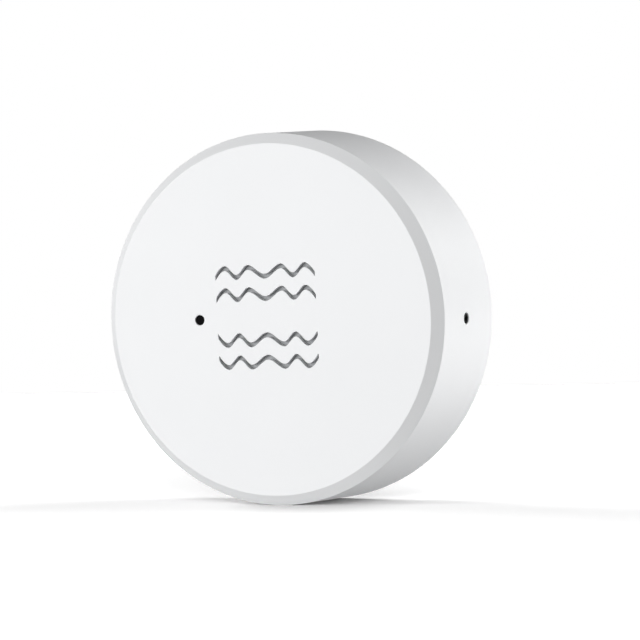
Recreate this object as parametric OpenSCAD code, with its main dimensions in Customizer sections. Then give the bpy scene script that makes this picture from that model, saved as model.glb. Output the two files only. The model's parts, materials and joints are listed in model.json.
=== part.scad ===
// Round battery motion sensor with an alarm sounder, on a magnetic wall plate.
// Every module is drawn with the case axis along +Z and the wall at z = 0, and
// place() turns it so that the face looks along -Y with +Z up.

/* [Case] */
// Radius of the case where the front chamfer starts
case_r = 30; // [29.5:0.1:31]
// Radius of the case at its rear rim, wider by the moulding draft
case_rear_r = 31.25; // [31.1:0.05:32]
// Depth of the case from its rear rim to its face
case_depth = 19.9; // [19.8:0.1:21]
// Width of the chamfer round the face, measured along the radius
chamfer_w = 1.72; // [1:0.02:2.2]
// Depth of the chamfer round the face, measured along the axis
chamfer_d = 1.54; // [1:0.02:2.2]
// Radius of the bore inside the case, next to the front wall
bore_r = 28.4; // [28.3:0.05:28.6]
// Thickness of the front wall
front_wall = 1.8; // [1.5:0.1:2]

/* [Face openings] */
// Half of the length of each wavy sound slot
wave_half = 8.91; // [7.5:0.1:9.2]
// Height of a sound slot, measured up the face
wave_t = 0.74; // [0.5:0.02:1]
// Height from a wave's middle to its crest
wave_amp = 0.76; // [0.4:0.02:0.9]
// Distance from the pattern's middle to the outer waves
wave_outer = 7.27; // [6.9:0.05:7.5]
// Distance from the pattern's middle to the inner waves
wave_inner = 3.68; // [3:0.05:4]
// Height of the slot pattern above the middle of the face
pattern_rise = 0.56; // [0:0.02:0.6]
// Distance from the middle of the face to the status light
light_x = 12.2; // [11.8:0.05:12.6]
// Height of the status light above the middle of the face
light_rise = 0.38; // [0:0.02:0.6]
// Radius of the status light's hole
light_r = 0.84; // [0.6:0.02:1]

/* [Reset hole] */
// Distance of the reset hole behind the face
reset_back = 9.6; // [9.4:0.05:9.8]
// Height of the reset hole above the case's middle
reset_rise = -1.11; // [-1.6:0.01:0]
// Radius of the reset hole
reset_r = 0.9; // [0.8:0.02:1]

/* [Wall plate] */
// Radius of the wall plate
plate_r = 28.9; // [28:0.1:29]
// Thickness of the wall plate
plate_t = 2.4; // [2.2:0.1:2.4]
// Distance between the two wall screw holes
screw_spacing = 42; // [38:0.5:44]
// Radius of the wall screw holes
screw_hole_r = 2; // [1.8:0.1:2.2]
// Radius of the adhesive pad
pad_r = 16; // [12:0.5:16.5]
// Thickness of the adhesive pad
pad_t = 0.8; // [0.7:0.05:1]

/* [Cells] */
// Radius of a cell
cell_r = 5.25; // [5:0.05:5.25]
// Length of a cell with its positive cap
cell_l = 44.5; // [43.5:0.1:44.5]

/* [Hidden] */
$fn = 64;

e = 0.01;                              // overcut
rim_z = 0.6;                           // rear rim of the case, with the pad proud of it
face_z = rim_z + case_depth;           // face
front_in = face_z - front_wall;        // inside of the front wall
plate_front = rim_z + plate_t;         // front of the wall plate
tray_z = 3.2;                          // rear of the tray, clear of the plate
tray_top = 14.6;                       // front of the tray
draft = 1.25 / 18;                     // taper of the inner walls
tray_floor = 1.4;
bore_top = front_in - 1.2;
function bore_at(z) = bore_r + draft * (bore_top - z);
function tray_at(z) = bore_at(z) - 0.3;
seal_z = 13.6;
board_z = 14.7;                        // rear of the circuit board
board_t = 1;
board_front = board_z + board_t;
board_r = 26.4;
cell_z = 8.6;                          // axis of the cells
cell_x = 5.5;
bay_x = 11;                            // half width of the cell bay
bay_y = 24.4;                          // half length of the cell bay
contact_t = 0.4;
corner = [18, 17.5];                   // case screws
magnet = [18.5, 9];
magnet_r = 4;
magnet_t = 2.5;
keeper_r = 4.5;
keeper_t = 1;
dowel = [16.5, 0];
tamper = [-19, 0];
tamper_travel = 1.5;
reset_z = face_z - reset_back;
function skin_at(z) = case_r + 0.01 + (case_rear_r - case_r) * (face_z - chamfer_d - 0.14 - z) / (face_z - chamfer_d - 0.49 - rim_z);
reset_travel = 0.35;
sounder_r = 9;
sounder_h = 2.3;
mesh_z = face_z - 0.8;                 // front of the pocket that holds the vent mesh

// Turns a module drawn along +Z into the row frame
module place() { rotate([90, 0, 0]) children(); }

module at_corners() { for (sx = [-1, 1], sy = [-1, 1]) translate([sx * corner[0], sy * corner[1], 0]) children(); }
module at_magnets() { for (sx = [-1, 1], sy = [-1, 1]) translate([sx * magnet[0], sy * magnet[1], 0]) children(); }

// A ring or disc with a small chamfer on both edges
module disc(r, h, c = 0.15) {
    rotate_extrude() polygon([[0, 0], [r - c, 0], [r, c], [r, h - c], [r - c, h], [0, h]]);
}

// ---- wavy slots ----
// Extremes of half a wave: trough in the middle, crest, trough, crest, then the cut end
wave_x = [0, 3.0, 5.07, 7.17, wave_half];
function ease(t) = (1 - cos(180 * t)) / 2;
function wave_y(x) = let (a = abs(x))
    a <= wave_x[1] ? -wave_amp + 2 * wave_amp * ease(a / wave_x[1]) :
    a <= wave_x[2] ? wave_amp - 2 * wave_amp * ease((a - wave_x[1]) / (wave_x[2] - wave_x[1])) :
    a <= wave_x[3] ? -wave_amp + 2 * wave_amp * ease((a - wave_x[2]) / (wave_x[3] - wave_x[2])) :
    wave_amp - 2 * wave_amp * pow((a - wave_x[3]) / (wave_half - wave_x[3]), 1.8);
wave_n = 54;
module wave(flip = 1) {
    xs = [for (i = [0 : wave_n]) -wave_half + 2 * wave_half * i / wave_n];
    polygon(concat([for (x = xs) [x, flip * wave_y(x) - wave_t / 2]],
        [for (i = [wave_n : -1 : 0]) [xs[i], flip * wave_y(xs[i]) + wave_t / 2]]));
}
module waves() {
    translate([0, pattern_rise]) {
        for (y = [wave_outer, wave_inner]) {
            translate([0, y]) wave(1);
            translate([0, -y]) wave(-1);
        }
    }
}

// ---- case ----
function arc(cx, cy, r, a0, a1, n) = [for (i = [0 : n]) let (a = a0 + (a1 - a0) * i / n) [cx + r * cos(a), cy + r * sin(a)]];

module case_outline() {
    cr = case_r - chamfer_w;
    polygon(concat([[0, face_z], [cr - 0.12, face_z], [cr + 0.1, face_z - 0.1],
        [case_r - 0.08, face_z - chamfer_d + 0.08], [case_r + 0.01, face_z - chamfer_d - 0.14],
        [case_rear_r, rim_z + 0.35], [case_rear_r - 0.3, rim_z],
        [bore_at(rim_z) + 0.35, rim_z], [bore_at(rim_z + 0.35), rim_z + 0.35], [bore_r, bore_top]],
        arc(bore_r - 1.2, bore_top, 1.2, 0, 90, 6),
        [[0, front_in]]));
}

module front_cover() {
    color("white") difference() {
        union() {
            rotate_extrude($fn = 128) case_outline();
            // posts that clamp the board
            at_corners() translate([0, 0, board_front]) cylinder(r = 2.6, h = front_in - board_front + 0.2);
            // guide round the status light
            translate([-light_x, light_rise, 17.2]) cylinder(r = 2, h = front_in - 17.2 + 0.2);
            // guide round the reset hole
            translate([bore_at(reset_z) - 0.3, reset_rise, reset_z]) rotate([0, 90, 0]) cylinder(r = 2, h = 0.7);
        }
        translate([0, 0, mesh_z]) linear_extrude(face_z - mesh_z + 1) waves();
        // pocket for the vent mesh
        translate([-10.1, pattern_rise - 8.9, front_in - e]) cube([20.2, 17.8, mesh_z - front_in + e]);
        translate([-light_x, light_rise, 10]) cylinder(r = light_r, h = 12);
        translate([-light_x, light_rise, 17.2 - e]) cylinder(r = 1.5, h = front_in - 0.2 - 17.2);
        translate([bore_r - 2, reset_rise, reset_z]) rotate([0, 90, 0]) cylinder(r = reset_r, h = 6);
        at_corners() translate([0, 0, board_front - e]) cylinder(r = 0.95, h = 2.5);
    }
}

module vent_mesh() {
    color("gray") translate([-9.9, pattern_rise - 8.7, mesh_z - 0.25]) cube([19.8, 17.4, 0.2]);
}

module sounder_seal() {
    color("dimgray") translate([0, pattern_rise, board_front + sounder_h + 0.02])
        difference() {
            cylinder(r = 8.6, h = mesh_z - 0.3 - board_front - sounder_h);
            translate([0, 0, -1]) cylinder(r = 6.4, h = 4);
        }
}

module sounder_case() {
    color("black") translate([0, pattern_rise, board_front]) difference() {
        disc(sounder_r, sounder_h, 0.2);
        translate([0, 0, 0.5]) cylinder(r = 8.3, h = 1.3);
        translate([0, 0, 1]) cylinder(r = 1.5, h = 3);
    }
}
module sounder_bender() {
    color("goldenrod") translate([0, pattern_rise, board_front + 1]) cylinder(r = 8.2, h = 0.2);
}
module sounder_ceramic() {
    color("ivory") translate([0, pattern_rise, board_front + 0.75]) cylinder(r = 5.6, h = 0.25);
}

module light_pipe() {
    color("#202124") translate([-light_x, light_rise, 0]) union() {
        translate([0, 0, 17]) disc(1.4, front_in - 0.3 - 17, 0.1);
        translate([0, 0, 18]) disc(light_r - 0.04, face_z - 0.2 - 18, 0.05);
    }
}
module status_led() {
    color("white") translate([-light_x, light_rise, board_front]) union() {
        translate([-0.8, -0.6, 0]) cube([1.6, 1.2, 0.35]);
        translate([-0.55, -0.5, 0.3]) cube([1.1, 1, 0.4]);
    }
}

// ---- board ----
module circuit_board() {
    color("darkgreen") difference() {
        translate([0, 0, board_z]) cylinder(r = board_r, h = board_t);
        at_corners() translate([0, 0, board_z - 1]) cylinder(r = 1.2, h = 3);
        // slots for the contact tabs
        for (sx = [-1, 1], sy = [-1, 1])
            translate([sx * cell_x - 1.1, sy * 24.2 - 0.4, board_z - 1]) cube([2.2, 0.8, 3]);
        // flat that keeps the antenna clear of the case
        translate([-30, 24.9, board_z - 1]) cube([60, 5, 3]);
    }
}
module radio_board() {
    color("#1a5e3a") difference() {
        translate([-6.5, 10.5, board_front]) cube([13, 13, 0.8]);
        for (i = [0 : 7]) for (sx = [-1, 1])
            translate([sx * 6.5, 11.6 + i * 1.1, board_front - 1]) cylinder(r = 0.25, h = 3, $fn = 16);
    }
}
module radio_shield() {
    color("silver") translate([-5.7, 10.9, board_front + 0.8]) difference() {
        cube([11.4, 8.4, 1.6]);
        translate([0.2, 0.2, -1]) cube([11, 8, 2.4]);
    }
}
module antenna() {
    // meander trace beyond the shield
    color("#b87333") translate([0, -0.8, board_front + 0.8]) union() {
        for (i = [0 : 5]) translate([-5.4 + i * 1.8, 21, 0]) cube([0.5, 2.6, 0.06]);
        for (i = [0 : 4]) translate([-5.4 + i * 1.8, i % 2 == 0 ? 23.1 : 21, 0]) cube([2.3, 0.5, 0.06]);
        translate([3.6, 20.2, 0]) cube([0.5, 1, 0.06]);
    }
}
module leaded_chip(w, l, h) {
    union() {
        translate([-w / 2, -l / 2, 0.08]) cube([w, l, h]);
        for (i = [0 : 3], sx = [-1, 1])
            translate([sx * (w / 2 + 0.3) - 0.5, -l / 2 + l / 8 + i * l / 4 - 0.15, 0]) cube([1, 0.3, 0.2]);
    }
}
module motion_chip() {
    color("#1c1c1e") translate([13.5, 2.2, board_front]) union() {
        translate([-1.5, -1.5, 0.05]) cube([3, 3, 0.95]);
        for (i = [-2 : 2], s = [-1, 1]) {
            translate([s * 1.45 - 0.15, i * 0.5 - 0.12, 0]) cube([0.3, 0.24, 0.2]);
            translate([i * 0.5 - 0.12, s * 1.45 - 0.15, 0]) cube([0.24, 0.3, 0.2]);
        }
    }
}
module board_chips() {
    color("#1c1c1e") {
        translate([14.5, -6.5, board_front]) leaded_chip(3.8, 4.9, 1.3);
        translate([-14, 7.6, board_front]) rotate([0, 0, 90]) leaded_chip(3, 3, 1);
        translate([-4.5, -14.6, board_front]) leaded_chip(2.8, 2.9, 1);
    }
}
// Chip resistors and capacitors: [x, y, turn, size]
passives = [[-17, 3.2, 0, 1], [-17, 1.6, 0, 1], [-17, -1.4, 0, 1], [-18.4, -5, 90, 1], [-16.6, -5, 90, 1],
    [-14.8, -5, 90, 1], [-12.2, -12, 0, 1.3], [-12.2, -14, 0, 1.3], [-9.4, -16.4, 90, 1], [-1, -13.4, 0, 1],
    [-1, -15, 0, 1], [2, -12.6, 90, 1.3], [11, -13.5, 0, 1], [11, -15, 0, 1], [18.6, -1.4, 90, 1], [20.2, -1.4, 90, 1],
    [19.4, 4.2, 0, 1], [19.4, 5.8, 0, 1], [10.4, 11, 90, 1], [12, 11, 90, 1], [-9.6, 12.6, 90, 1.3], [-9.6, 16, 0, 1],
    [16, 11, 90, 1], [-19.6, 9.4, 90, 1]];
module chip_part(s) {
    translate([-0.8 * s, -0.4 * s, 0]) cube([1.6 * s, 0.8 * s, 0.45 * s]);
}
module board_passives() {
    color("tan") for (p = passives) translate([p[0], p[1], board_front]) rotate([0, 0, p[2]]) chip_part(p[3]);
}
module crystal() {
    color("silver") translate([9.3, 15.4, board_front]) union() {
        translate([-1.6, -1.25, 0]) cube([3.2, 2.5, 0.5]);
        translate([-1.4, -1.05, 0.4]) cube([2.8, 2.1, 0.35]);
    }
}
module supply_capacitor() {
    // low surface mount can
    color("silver") translate([6.4, -17.6, board_front]) union() {
        translate([-2.6, -2.6, 0]) cube([5.2, 5.2, 0.6]);
        translate([0, 0, 0.5]) disc(2.4, 1.9, 0.25);
    }
}

// ---- tray ----
module tray_blank() {
    translate([0, 0, tray_z]) cylinder(r1 = tray_at(tray_z), r2 = tray_at(tray_top), h = tray_top - tray_z);
}
module battery_tray() {
    color("whitesmoke") difference() {
        union() {
            difference() {
                tray_blank();
                translate([0, 0, tray_z + tray_floor]) cylinder(r1 = tray_at(tray_z) - 1.4, r2 = tray_at(tray_top) - 1.3, h = tray_top - tray_z - tray_floor + e);
            }
            intersection() {
                tray_blank();
                translate([-bay_x - 1.2, -bay_y - 5, tray_z]) cube([2 * bay_x + 2.4, 2 * bay_y + 10, tray_top - tray_z]);
            }
            at_corners() translate([0, 0, tray_z]) cylinder(r = 2.7, h = tray_top - tray_z);
            at_magnets() translate([0, 0, tray_z]) cylinder(r = magnet_r + 1.1, h = magnet_t + 1.1);
            translate([tamper[0], tamper[1], tray_z]) cylinder(r = 3.7, h = 6.4);
            translate([dowel[0], dowel[1], tray_z]) cylinder(r = 3, h = 4.8);
            // ribs that stiffen the floor
            for (s = [-1, 1]) translate([s * 21.5 - 0.5, -6, tray_z]) cube([1, 12, 3]);
        }
        // cell bay, open to the rear, with cradle ribs left in it
        difference() {
            translate([-bay_x, -bay_y, tray_z - 1]) cube([2 * bay_x, 2 * bay_y, 20]);
            for (y = [-14, 0, 14]) translate([-bay_x - 1, y - 0.8, 9.6]) cube([2 * bay_x + 2, 1.6, 10]);
            translate([-0.5, -bay_y - 1, 11]) cube([1, 2 * bay_y + 2, 10]);
        }
        for (s = [-1, 1]) translate([s * cell_x, -bay_y, cell_z]) rotate([-90, 0, 0]) cylinder(r = cell_r + 0.1, h = 2 * bay_y);
        // hollows outside the bay ends
        for (s = [0, 1]) mirror([0, s, 0]) translate([-4.5, bay_y + 1.1, tray_z + tray_floor]) cube([9, 1.1, 20]);
        // slots that hold the contacts
        for (sx = [-1, 1], sy = [-1, 1])
            translate([sx * cell_x - 1.2, sy * (bay_y - 0.2) - 0.3, tray_top - 2]) cube([2.4, 0.6, 3]);
        at_corners() {
            translate([0, 0, tray_z - 1]) cylinder(r = 2, h = 3.8);
            cylinder(r = 1.1, h = 20);
        }
        at_magnets() translate([0, 0, tray_z - 1]) cylinder(r = magnet_r + 0.05, h = magnet_t + 1.05);
        // tamper pin: guide bore, then the chamber for its collar and spring
        translate([tamper[0], tamper[1], 0]) {
            cylinder(r = 1.6, h = 20);
            translate([0, 0, 5.6]) cylinder(r = 2.65, h = 10);
        }
        // socket for the plate's dowel
        translate([dowel[0], dowel[1], 0]) cylinder(r = 1.9, h = 7);
        // window for the reset button
        translate([25, reset_rise - 2.3, reset_z - 2.3]) cube([6, 4.6, 4.6]);
        // groove for the seal
        translate([0, 0, seal_z]) rotate_extrude() translate([tray_at(seal_z) - 0.75, -0.55]) square([2, 1.1]);
    }
}
module case_seal() {
    color("#2b2b2e") translate([0, 0, seal_z]) rotate_extrude($fn = 96) translate([tray_at(seal_z) - 0.24, 0]) circle(r = 0.48, $fn = 32);
}

// ---- cells and contacts ----
// A cell along +Y with its positive cap at the +Y end
module cell() {
    body = cell_l - 1;
    rotate([-90, 0, 0]) rotate_extrude() polygon([[0, 0], [3.2, 0], [3.2, 0.15], [4.8, 0.15], [5.0, 0.25], [5.1, 0.5], [cell_r, 0.7],
        [cell_r, body - 0.6], [5.1, body - 0.2], [4.6, body], [2.2, body], [1.9, body + 0.1], [1.9, body + 0.85],
        [1.75, body + 1], [0, body + 1]]);
}
cell_end = 23.5;
module cell_left() {
    color("#3b7f8c") translate([-cell_x, cell_end - cell_l, cell_z]) cell();
}
module cell_right() {
    color("#3b7f8c") translate([cell_x, cell_l - cell_end, cell_z]) mirror([0, 1, 0]) cell();
}

// Contact plate on the wall at the +Y end, with its tab up through the board
module contact_plate(bump) {
    union() {
        translate([-4, bay_y - contact_t, cell_z - 4.4]) cube([8, contact_t, 8.6]);
        translate([-1, bay_y - contact_t, cell_z + 4]) cube([2, contact_t, board_front + 0.5 - cell_z - 4]);
        if (bump) translate([0, bay_y - contact_t + 0.05, cell_z]) rotate([90, 0, 0]) cylinder(r1 = 2, r2 = 1.5, h = 0.5);
    }
}
// Conical coil: mean radius, pitch and wire radius along its turns
coil_turns = 3.5;
coil_wire = 0.3;
function coil_at(t) = let (a = 360 * coil_turns * t, r = 3.3 - 1.5 * t) [r * cos(a), r * sin(a), coil_wire + t * 2.3];
module sweep(path, r, sides) {
    n = len(path);
    rings = [for (i = [0 : n - 1])
        let (p = path[i], d = path[min(i + 1, n - 1)] - path[max(i - 1, 0)], t = d / norm(d),
            u0 = cross(t, [0, 0, 1]), u = u0 / norm(u0), v = cross(t, u))
            for (k = [0 : sides - 1]) p + r * (cos(360 * k / sides) * u + sin(360 * k / sides) * v)];
    polyhedron(rings, concat(
        [[for (k = [0 : sides - 1]) k]],
        [for (i = [0 : n - 2], k = [0 : sides - 1]) let (a = i * sides + k, b = i * sides + (k + 1) % sides)
            [a, a + sides, b + sides]],
        [for (i = [0 : n - 2], k = [0 : sides - 1]) let (a = i * sides + k, b = i * sides + (k + 1) % sides)
            [a, b + sides, b]],
        [[for (k = [sides - 1 : -1 : 0]) (n - 1) * sides + k]]));
}
module cell_spring() {
    n = 70;
    sweep([for (i = [0 : n]) coil_at(i / n)], coil_wire, 8);
}
module spring_at_end() {
    translate([0, bay_y - contact_t + 0.12, cell_z]) rotate([90, 0, 0]) cell_spring();
}
module positive_contact() {
    color("#d9d4c7") translate([-cell_x, 0, 0]) contact_plate(true);
}
module negative_contact() {
    color("#d9d4c7") translate([cell_x, 0, 0]) { contact_plate(false); spring_at_end(); }
}
module bridge_contact() {
    color("#d9d4c7") mirror([0, 1, 0]) {
        translate([-cell_x, 0, 0]) contact_plate(false);
        translate([-cell_x, 0, 0]) spring_at_end();
        translate([cell_x, 0, 0]) contact_plate(true);
        translate([-cell_x, bay_y - contact_t, cell_z - 4.4]) cube([2 * cell_x, contact_t, 2.4]);
    }
}

// ---- fastenings ----
module dock_magnets() {
    color("silver") at_magnets() translate([0, 0, tray_z + 0.02]) disc(magnet_r, magnet_t - 0.04, 0.2);
}
module case_screw() {
    difference() {
        union() {
            translate([0, 0, 4.4]) disc(1.85, 1.55, 0.25);
            translate([0, 0, 5.8]) cylinder(r = 0.9, h = 11.6);
            translate([0, 0, 17.39]) cylinder(r1 = 0.9, r2 = 0.4, h = 0.6);
        }
        for (a = [0, 90]) rotate([0, 0, a]) translate([-1.05, -0.25, 4]) cube([2.1, 0.5, 1.3]);
    }
}
module case_screws() {
    color("gainsboro") at_corners() case_screw();
}

// ---- reset button and its switch ----
module reset_switch() {
    color("#222224") difference() {
        union() {
            translate([21.8, reset_rise - 3, reset_z - 3.1]) cube([3.8, 6, board_z - reset_z + 3.1]);
            translate([25.5, reset_rise, reset_z]) rotate([0, 90, 0]) cylinder(r = 2.2, h = 0.4);
        }
        translate([23.4, reset_rise, reset_z]) rotate([0, 90, 0]) cylinder(r = 1.55, h = 4);
    }
}
module reset_switch_stem() {
    color("#101012") translate([24.2, reset_rise, reset_z]) rotate([0, 90, 0]) disc(1.5, 2.5, 0.15);
}
module reset_button() {
    tip = skin_at(reset_z) - 0.13;
    color("#0b0b0c") translate([0, reset_rise, reset_z]) rotate([0, 90, 0]) difference() {
        union() {
            translate([0, 0, 26.75]) disc(1.7, 1.45, 0.15);
            translate([0, 0, 28]) disc(reset_r - 0.07, tip - 28, 0.1);
        }
        // dimple that takes the end of a pin
        translate([0, 0, tip - 0.6]) cylinder(r1 = 0.25, r2 = 0.45, h = 0.6 + e);
    }
}

// ---- tamper pin and its switch ----
module tamper_switch() {
    color("#222224") translate([tamper[0], tamper[1], 0]) difference() {
        translate([-3, -3, 11.3]) cube([6, 6, board_z - 11.3]);
        translate([0, 0, 10]) cylinder(r = 1.25, h = 4.2);
    }
}
module tamper_switch_stem() {
    color("whitesmoke") translate([tamper[0], tamper[1], 10.85]) disc(1.2, 3.1, 0.12);
}
module tamper_pin() {
    color("white") translate([tamper[0], tamper[1], 0]) union() {
        disc(1.5, 10.8, 0.3);
        translate([0, 0, 7.2]) disc(2.5, 0.8, 0.1);
    }
}
module tamper_spring() {
    n = 72;
    turns = 4.5;
    color("silver") translate([tamper[0], tamper[1], 8.22])
        sweep([for (i = [0 : n]) let (t = i / n) [2.1 * cos(360 * turns * t), 2.1 * sin(360 * turns * t), 2.8 * t]], 0.18, 8);
}

// ---- wall plate ----
module mount_plate() {
    color("white") difference() {
        union() {
            translate([0, 0, rim_z]) disc(plate_r, plate_t, 0.35);
            translate([dowel[0], dowel[1], plate_front - 0.2]) disc(1.7, 3.2, 0.35);
        }
        // seat for the adhesive pad
        translate([0, 0, -1]) cylinder(r = pad_r + 0.1, h = 1 + pad_t);
        // countersunk wall screw holes
        for (s = [-1, 1]) translate([0, s * screw_spacing / 2, 0]) {
            cylinder(r = screw_hole_r, h = 5);
            translate([0, 0, rim_z + 0.9]) cylinder(r1 = screw_hole_r, r2 = screw_hole_r + 1.75, h = plate_t - 0.9 + e);
        }
        translate([tamper[0], tamper[1], 0]) cylinder(r = 2, h = 5);
        at_magnets() translate([0, 0, plate_front - keeper_t]) cylinder(r = keeper_r + 0.05, h = 2);
        // scallops that save plastic on the front
        for (s = [-1, 1]) translate([s * 8, -11, plate_front - 0.8]) cube([1.2, 22, 2]);
    }
}
module adhesive_pad() {
    color("gray") disc(pad_r, pad_t, 0.05);
}
module keeper_discs() {
    color("silver") at_magnets() translate([0, 0, plate_front - keeper_t + 0.02]) disc(keeper_r, keeper_t - 0.04, 0.15);
}

place() mount_plate();
place() adhesive_pad();
place() keeper_discs();
place() front_cover();
place() vent_mesh();
place() sounder_seal();
place() sounder_case();
place() sounder_bender();
place() sounder_ceramic();
place() light_pipe();
place() status_led();
place() circuit_board();
place() radio_board();
place() radio_shield();
place() antenna();
place() motion_chip();
place() board_chips();
place() board_passives();
place() crystal();
place() supply_capacitor();
place() battery_tray();
place() cell_left();
place() cell_right();
place() positive_contact();
place() negative_contact();
place() bridge_contact();
place() dock_magnets();
place() case_screws();
place() case_seal();
place() reset_switch();
place() tamper_switch();
place() tamper_spring();
place() reset_button();
place() reset_switch_stem();
place() tamper_pin();
place() tamper_switch_stem();
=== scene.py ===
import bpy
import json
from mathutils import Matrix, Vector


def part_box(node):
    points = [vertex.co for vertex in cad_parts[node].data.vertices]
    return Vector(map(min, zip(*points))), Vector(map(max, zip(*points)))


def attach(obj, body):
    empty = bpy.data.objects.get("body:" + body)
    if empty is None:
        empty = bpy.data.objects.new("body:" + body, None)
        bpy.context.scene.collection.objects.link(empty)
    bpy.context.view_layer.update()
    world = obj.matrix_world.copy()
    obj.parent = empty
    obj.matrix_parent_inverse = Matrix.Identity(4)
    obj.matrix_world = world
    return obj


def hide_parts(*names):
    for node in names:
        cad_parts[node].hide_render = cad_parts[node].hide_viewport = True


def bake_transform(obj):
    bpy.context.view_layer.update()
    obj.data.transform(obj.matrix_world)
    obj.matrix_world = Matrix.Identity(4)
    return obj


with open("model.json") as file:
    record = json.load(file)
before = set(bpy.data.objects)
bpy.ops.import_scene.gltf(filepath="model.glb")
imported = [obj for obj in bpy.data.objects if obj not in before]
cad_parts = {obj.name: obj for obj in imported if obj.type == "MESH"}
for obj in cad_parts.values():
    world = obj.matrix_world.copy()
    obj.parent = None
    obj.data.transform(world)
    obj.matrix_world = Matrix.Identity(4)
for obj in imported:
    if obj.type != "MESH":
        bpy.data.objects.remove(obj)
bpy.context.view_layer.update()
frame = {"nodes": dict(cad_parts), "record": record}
import json
import math
import random

import bpy
import bmesh
from mathutils import Matrix, Vector
from mathutils.geometry import delaunay_2d_cdt

scene = bpy.context.scene
random.seed(7)
MM = 0.001

# The object is drawn in local millimetres with z from the wall to the face;
# row() turns a local point into the row frame in metres.


def row(p):
    return Vector((p[0] * MM, -p[2] * MM, p[1] * MM))


def row_dir(n):
    return Vector((n[0], -n[2], n[1])).normalized()


# ------------------------------------------------------------------ sizes
FACE = -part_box("front_cover")[0].y / MM          # 20.5
RIM = -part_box("front_cover")[1].y / MM           # 0.6
R_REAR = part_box("front_cover")[1].x / MM         # 31.25
R_FRONT = 30.0
CH_W, CH_D = 1.72, 1.54
FRONT_IN = FACE - 1.8
BORE_R, BORE_TOP = 28.4, FACE - 3.0
DRAFT = 1.25 / 18
MESH_Z = 19.7
BOARD_FRONT = -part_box("circuit_board")[0].y / MM
RISE = 0.56
LIGHT = (-12.2, 0.38)
LIGHT_R = 0.84
HOLE_Y, HOLE_Z, HOLE_R = -1.11, FACE - 9.6, 0.9


def bore_at(z):
    return BORE_R + DRAFT * (BORE_TOP - z)


# ------------------------------------------------------------------ mesh helper
class Build:
    """Collects vertices with their own normals, then makes one welded mesh."""

    def __init__(self):
        self.v, self.n, self.f = [], [], []

    def add(self, p, n):
        self.v.append(tuple(p))
        self.n.append(tuple(n))
        return len(self.v) - 1

    def face(self, ids):
        if len(set(ids)) > 2:
            self.f.append(list(ids))

    def strip(self, a, b, closed=True):
        k = len(a)
        for i in range(k if closed else k - 1):
            j = (i + 1) % k
            self.face([a[i], a[j], b[j], b[i]])

    def region(self, loops, points, normal, keep, extra=()):
        """Fills a flat or nearly flat region between loops of existing vertices.
        points gives the plane coordinates of a vertex; keep(x, y) says what stays."""
        ids, co, edges = [], [], []
        for loop in loops:
            s = len(ids)
            for q in loop:
                ids.append(q)
                co.append(Vector(points(q)))
            edges += [(s + i, s + (i + 1) % len(loop)) for i in range(len(loop))]
        for q in extra:
            ids.append(q)
            co.append(Vector(points(q)))
        out = delaunay_2d_cdt(co, edges, [], 0, 1e-7)
        vs, orig = out[0], out[3]
        for tri in out[2]:
            c = sum((vs[i] for i in tri), Vector((0, 0))) / len(tri)
            if not keep(c.x, c.y):
                continue
            try:
                pick = [ids[orig[i][0]] for i in tri]
            except IndexError:
                continue
            self.face(pick if normal > 0 else pick[::-1])

    def make(self, name, mat, recalc=True):
        me = bpy.data.meshes.new(name)
        me.from_pydata([row(p) for p in self.v], [], self.f)
        me.update()
        bm = bmesh.new()
        bm.from_mesh(me)
        if recalc:
            bmesh.ops.recalc_face_normals(bm, faces=bm.faces)
        bm.to_mesh(me)
        bm.free()
        for p in me.polygons:
            p.use_smooth = True
        me.normals_split_custom_set_from_vertices([row_dir(n) for n in self.n])
        o = bpy.data.objects.new(name, me)
        scene.collection.objects.link(o)
        me.materials.append(mat)
        return o


def rounded(points):
    """Polyline of (r, z, fillet radius, steps) to points with unit normals (left of travel)."""
    out = []
    k = len(points)
    for i, p in enumerate(points):
        r, z, f, s = p
        a = Vector(points[i - 1][:2]) if i else None
        b = Vector(points[i + 1][:2]) if i < k - 1 else None
        c = Vector((r, z))
        if a is None or b is None or f <= 0:
            d = (b - c) if a is None else (c - a)
            d.normalize()
            out.append((c.x, c.y, -d.y, d.x))
            continue
        u, w = (a - c).normalized(), (b - c).normalized()
        half = math.acos(max(-1, min(1, u.dot(w)))) / 2
        t = f / math.tan(half)
        centre = c + (u + w).normalized() * (f / math.sin(half))
        p0, p1 = c + u * t, c + w * t
        a0 = math.atan2(p0.y - centre.y, p0.x - centre.x)
        a1 = math.atan2(p1.y - centre.y, p1.x - centre.x)
        turn = (a1 - a0 + math.pi) % (2 * math.pi) - math.pi
        side = 1 if turn < 0 else -1
        for j in range(s + 1):
            an = a0 + turn * j / s
            out.append((centre.x + f * math.cos(an), centre.y + f * math.sin(an), side * math.cos(an), side * math.sin(an)))
    return out


# ------------------------------------------------------------------ wavy outline
WX = [0, 3.0, 5.07, 7.17, 8.91]
WT, WA = 0.74, 0.76


def ease(t):
    return (1 - math.cos(math.pi * t)) / 2


def wave_y(x):
    a = abs(x)
    if a <= WX[1]:
        return -WA + 2 * WA * ease(a / WX[1])
    if a <= WX[2]:
        return WA - 2 * WA * ease((a - WX[1]) / (WX[2] - WX[1]))
    if a <= WX[3]:
        return -WA + 2 * WA * ease((a - WX[2]) / (WX[3] - WX[2]))
    return WA - 2 * WA * ((a - WX[3]) / (WX[4] - WX[3])) ** 1.8


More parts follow.
